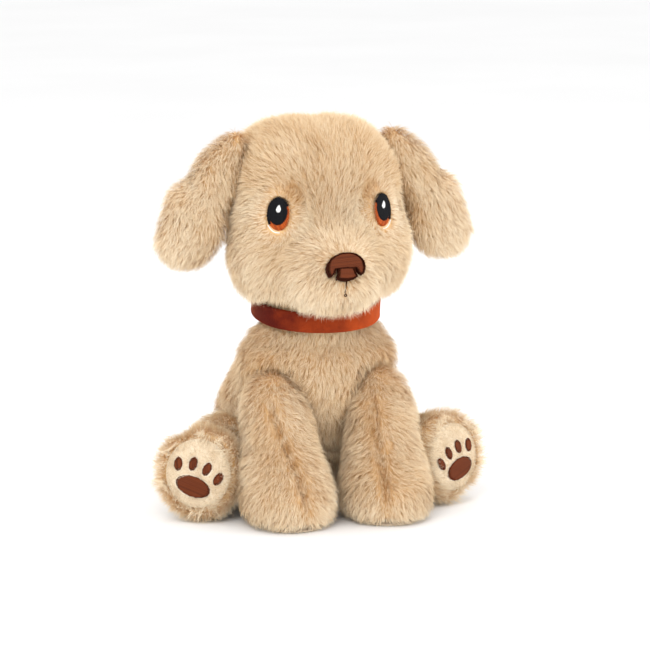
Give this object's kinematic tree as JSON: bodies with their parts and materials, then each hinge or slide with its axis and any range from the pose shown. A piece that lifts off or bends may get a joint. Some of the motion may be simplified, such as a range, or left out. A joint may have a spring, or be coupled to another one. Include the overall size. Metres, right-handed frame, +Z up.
{
  "type": "plush dog",
  "caption": "Sitting plush puppy with hanging ears, embroidered face, velvet collar, upright front legs and splayed hind feet with printed paw pads.",
  "frame": {"origin": "centre of the flat seat face under the torso, on the floor plane", "axes": "+Z up through the head, the puppy looks along -Y, its own left is +X"},
  "size_m": [0.2048, 0.201, 0.2425],
  "materials": {
    "fur": "short soft pile fur fabric, golden cream, darker in the folds",
    "sole_plush": "very short brushed plush",
    "fibre": "loose polyester fibre filling",
    "bean_bag": "woven bag of plastic beans",
    "collar_velvet": "rust orange velvet ribbon",
    "brown_thread": "brown satin-stitch embroidery",
    "amber_thread": "amber satin-stitch embroidery",
    "black_thread": "black satin-stitch embroidery",
    "white_thread": "white satin-stitch embroidery"
  },
  "bodies": {
    "torso": {"torso_cover": "fur", "torso_filling": "fibre", "seat_bean_bag": "bean_bag"},
    "neck": {"neck_core": "fibre"},
    "head": {"head_cover": "fur", "head_filling": "fibre", "nose_cap": "brown_thread", "nose_base": "brown_thread", "mouth_thread": "brown_thread", "mouth_knot": "brown_thread", "left_eye_iris": "amber_thread", "left_eye_pupil": "black_thread", "left_eye_highlight": "white_thread", "left_eye_rim": "white_thread", "right_eye_iris": "amber_thread", "right_eye_pupil": "black_thread", "right_eye_highlight": "white_thread", "right_eye_rim": "white_thread"},
    "collar": {"collar_band": "collar_velvet"},
    "tail": {"tail_cover": "fur", "tail_filling": "fibre"},
    "left_front_leg": {"left_front_leg_cover": "fur", "left_front_leg_filling": "fibre", "left_front_sole": "sole_plush"},
    "left_hind_leg": {"left_hind_leg_cover": "fur", "left_hind_leg_filling": "fibre", "left_foot_bean_bag": "bean_bag", "left_hind_sole": "sole_plush", "left_heel_pad": "brown_thread", "left_toe_pad_1": "brown_thread", "left_toe_pad_2": "brown_thread", "left_toe_pad_3": "brown_thread", "left_toe_pad_4": "brown_thread"},
    "left_ear": {"left_ear_front_panel": "fur", "left_ear_back_panel": "fur"},
    "right_front_leg": {"right_front_leg_cover": "fur", "right_front_leg_filling": "fibre", "right_front_sole": "sole_plush"},
    "right_hind_leg": {"right_hind_leg_cover": "fur", "right_hind_leg_filling": "fibre", "right_foot_bean_bag": "bean_bag", "right_hind_sole": "sole_plush", "right_heel_pad": "brown_thread", "right_toe_pad_1": "brown_thread", "right_toe_pad_2": "brown_thread", "right_toe_pad_3": "brown_thread", "right_toe_pad_4": "brown_thread"},
    "right_ear": {"right_ear_front_panel": "fur", "right_ear_back_panel": "fur"}
  },
  "joints": [
    {"name": "head_turn", "type": "hinge", "parent": "torso", "child": "neck", "pos_m": [0, -0.0425, 0.136], "axis": [0, -0.1392, 0.9903], "range_deg": [-25, 25], "stiffness_Nm_per_rad": 0.6},
    {"name": "head_nod", "type": "hinge", "parent": "neck", "child": "head", "pos_m": [0, -0.0425, 0.136], "axis": [1, 0, 0], "range_deg": [-6, 6], "stiffness_Nm_per_rad": 3},
    {"name": "collar_turn", "type": "hinge", "parent": "torso", "child": "collar", "pos_m": [0, -0.0425, 0.136], "axis": [0, -0.1392, 0.9903], "range_deg": [-45, 45]},
    {"name": "tail_wag", "type": "hinge", "parent": "torso", "child": "tail", "pos_m": [0, 0.044, 0.022], "axis": [0, 0, 1], "range_deg": [-20, 20], "stiffness_Nm_per_rad": 0.05},
    {"name": "left_ear_lift", "type": "hinge", "parent": "head", "child": "left_ear", "pos_m": [0.047, -0.033, 0.229], "axis": [0, -1, 0], "range_deg": [0, 60], "stiffness_Nm_per_rad": 0.06},
    {"name": "left_front_leg_swing", "type": "hinge", "parent": "torso", "child": "left_front_leg", "pos_m": [0.034, -0.062, 0.074], "axis": [-1, 0, 0], "range_deg": [0, 20], "stiffness_Nm_per_rad": 0.5},
    {"name": "left_hind_leg_splay", "type": "hinge", "parent": "torso", "child": "left_hind_leg", "pos_m": [0.038, 0.002, 0.033], "axis": [0, 0, 1], "range_deg": [0, 20], "stiffness_Nm_per_rad": 0.5},
    {"name": "right_ear_lift", "type": "hinge", "parent": "head", "child": "right_ear", "pos_m": [-0.047, -0.033, 0.229], "axis": [0, 1, 0], "range_deg": [0, 60], "stiffness_Nm_per_rad": 0.06},
    {"name": "right_front_leg_swing", "type": "hinge", "parent": "torso", "child": "right_front_leg", "pos_m": [-0.034, -0.062, 0.074], "axis": [-1, 0, 0], "range_deg": [0, 20], "stiffness_Nm_per_rad": 0.5},
    {"name": "right_hind_leg_splay", "type": "hinge", "parent": "torso", "child": "right_hind_leg", "pos_m": [-0.038, 0.002, 0.033], "axis": [0, 0, -1], "range_deg": [0, 20], "stiffness_Nm_per_rad": 0.5}
  ]
}
